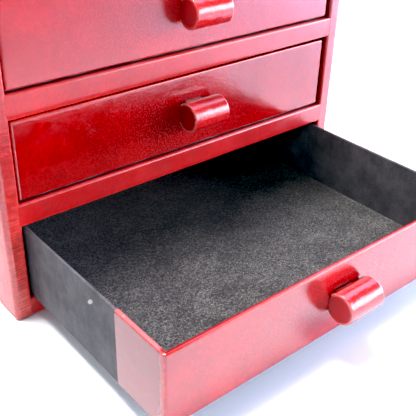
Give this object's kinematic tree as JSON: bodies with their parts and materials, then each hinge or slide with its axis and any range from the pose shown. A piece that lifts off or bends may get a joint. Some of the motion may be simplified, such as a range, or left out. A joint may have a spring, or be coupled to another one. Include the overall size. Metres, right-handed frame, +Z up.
{
  "type": "jewellery chest",
  "caption": "Leather-covered wooden jewellery chest with sliding drawers, each with a felt floor and a leather bar pull on its front.",
  "frame": {"origin": "middle of the case's footprint, on the underside of the base felt", "axes": "+Z up, -Y out of the drawer fronts, +X to the right of someone facing the drawers"},
  "size_m": [0.24, 0.3338, 0.1884],
  "materials": {
    "red_leather": "glazed, fine grain",
    "bare_board": "stained dark, not varnished",
    "papered_board": "covered in matt dark paper",
    "bay_card": "matt card",
    "dark_felt": "flecked felt",
    "screw_steel": "zinc plated"
  },
  "bodies": {
    "case": {"back_board": "bare_board", "back_leather": "red_leather", "base_board": "bare_board", "base_felt": "dark_felt", "base_rail_leather": "red_leather", "bottom_bay_lining": "bay_card", "left_side_board": "bare_board", "left_side_leather": "red_leather", "lower_rail_leather": "red_leather", "lower_shelf_board": "bare_board", "middle_bay_lining": "bay_card", "right_side_board": "bare_board", "right_side_leather": "red_leather", "top_bay_lining": "bay_card", "top_board": "bare_board", "top_leather": "red_leather", "top_rail_leather": "red_leather", "upper_rail_leather": "red_leather", "upper_shelf_board": "bare_board"},
    "top_drawer": {"top_drawer_back_wall": "papered_board", "top_drawer_floor_board": "papered_board", "top_drawer_floor_felt": "dark_felt", "top_drawer_front_board": "papered_board", "top_drawer_front_leather": "red_leather", "top_drawer_left_wall": "papered_board", "top_drawer_pull_core": "bare_board", "top_drawer_pull_end_discs": "red_leather", "top_drawer_pull_leather": "red_leather", "top_drawer_pull_screw": "screw_steel", "top_drawer_right_wall": "papered_board"},
    "middle_drawer": {"middle_drawer_back_wall": "papered_board", "middle_drawer_floor_board": "papered_board", "middle_drawer_floor_felt": "dark_felt", "middle_drawer_front_board": "papered_board", "middle_drawer_front_leather": "red_leather", "middle_drawer_left_wall": "papered_board", "middle_drawer_pull_core": "bare_board", "middle_drawer_pull_end_discs": "red_leather", "middle_drawer_pull_leather": "red_leather", "middle_drawer_pull_screw": "screw_steel", "middle_drawer_right_wall": "papered_board"},
    "bottom_drawer": {"bottom_drawer_back_wall": "papered_board", "bottom_drawer_floor_board": "papered_board", "bottom_drawer_floor_felt": "dark_felt", "bottom_drawer_front_board": "papered_board", "bottom_drawer_front_leather": "red_leather", "bottom_drawer_left_wall": "papered_board", "bottom_drawer_pull_core": "bare_board", "bottom_drawer_pull_end_discs": "red_leather", "bottom_drawer_pull_leather": "red_leather", "bottom_drawer_pull_screw": "screw_steel", "bottom_drawer_right_wall": "papered_board"}
  },
  "joints": [
    {"name": "top_drawer_slide", "type": "slide", "parent": "case", "child": "top_drawer", "axis": [0, -1, 0], "range_m": [0, 0.14]},
    {"name": "middle_drawer_slide", "type": "slide", "parent": "case", "child": "middle_drawer", "axis": [0, -1, 0], "range_m": [0, 0.14]},
    {"name": "bottom_drawer_slide", "type": "slide", "parent": "case", "child": "bottom_drawer", "axis": [0, -1, 0], "range_m": [-0.1221, 0.0179]}
  ]
}
